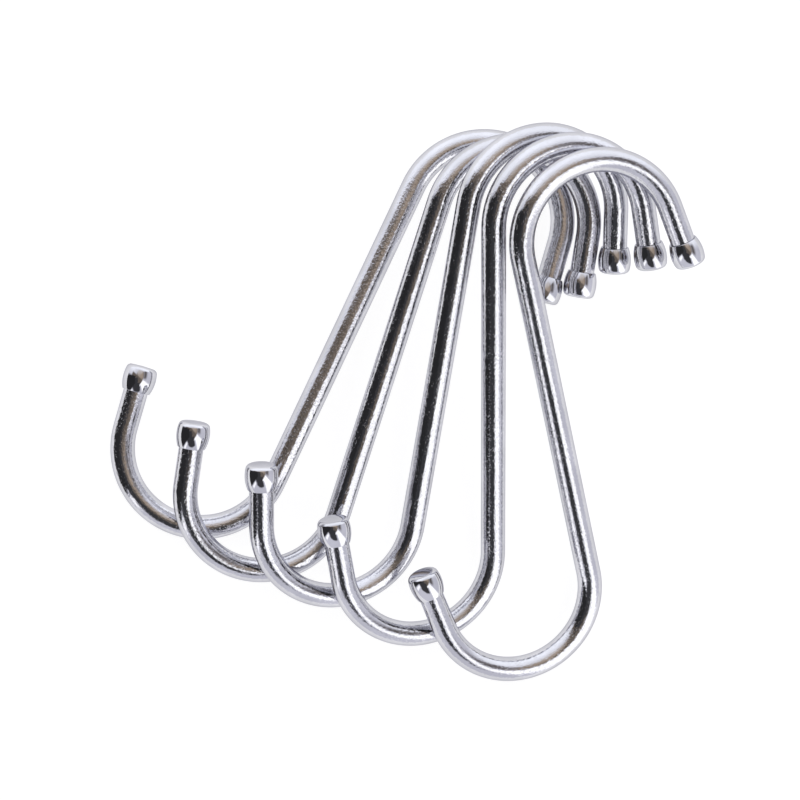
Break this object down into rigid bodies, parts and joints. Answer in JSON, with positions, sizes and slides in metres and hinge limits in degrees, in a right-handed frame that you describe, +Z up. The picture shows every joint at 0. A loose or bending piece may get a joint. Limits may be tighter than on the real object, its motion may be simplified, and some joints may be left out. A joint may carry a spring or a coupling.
{
  "type": "s hook set",
  "caption": "Pile of loose S-hooks of chrome-plated round wire with a round cap on each blunt end, for hanging meat, tools or utensils from a rail.",
  "frame": {"origin": "on the table, under the middle of the pile's box", "axes": "+Z up from the table; +Y from the hooks' lower bends to their upper bends; the fan opens towards -X"},
  "size_m": [0.0946, 0.0911, 0.0205],
  "materials": {
    "wire": "bright chrome plate on drawn wire",
    "cap": "bright chrome plate"
  },
  "bodies": {
    "hook_1": {"hook_1_wire": "wire", "hook_1_upper_cap": "cap", "hook_1_lower_cap": "cap"},
    "hook_2": {"hook_2_wire": "wire", "hook_2_upper_cap": "cap", "hook_2_lower_cap": "cap"},
    "hook_3": {"hook_3_wire": "wire", "hook_3_upper_cap": "cap", "hook_3_lower_cap": "cap"},
    "hook_4": {"hook_4_wire": "wire", "hook_4_upper_cap": "cap", "hook_4_lower_cap": "cap"},
    "hook_5": {"hook_5_wire": "wire", "hook_5_upper_cap": "cap", "hook_5_lower_cap": "cap"}
  },
  "joints": [
    {"name": "hook_2_lift", "type": "slide", "parent": "hook_1", "child": "hook_2", "axis": [0, 0, 1], "range_m": [0, 0.04]},
    {"name": "hook_3_lift", "type": "slide", "parent": "hook_2", "child": "hook_3", "axis": [0, 0, 1], "range_m": [0, 0.04]},
    {"name": "hook_4_lift", "type": "slide", "parent": "hook_3", "child": "hook_4", "axis": [0, 0, 1], "range_m": [0, 0.04]},
    {"name": "hook_5_lift", "type": "slide", "parent": "hook_4", "child": "hook_5", "axis": [0, 0, 1], "range_m": [0, 0.04]}
  ]
}
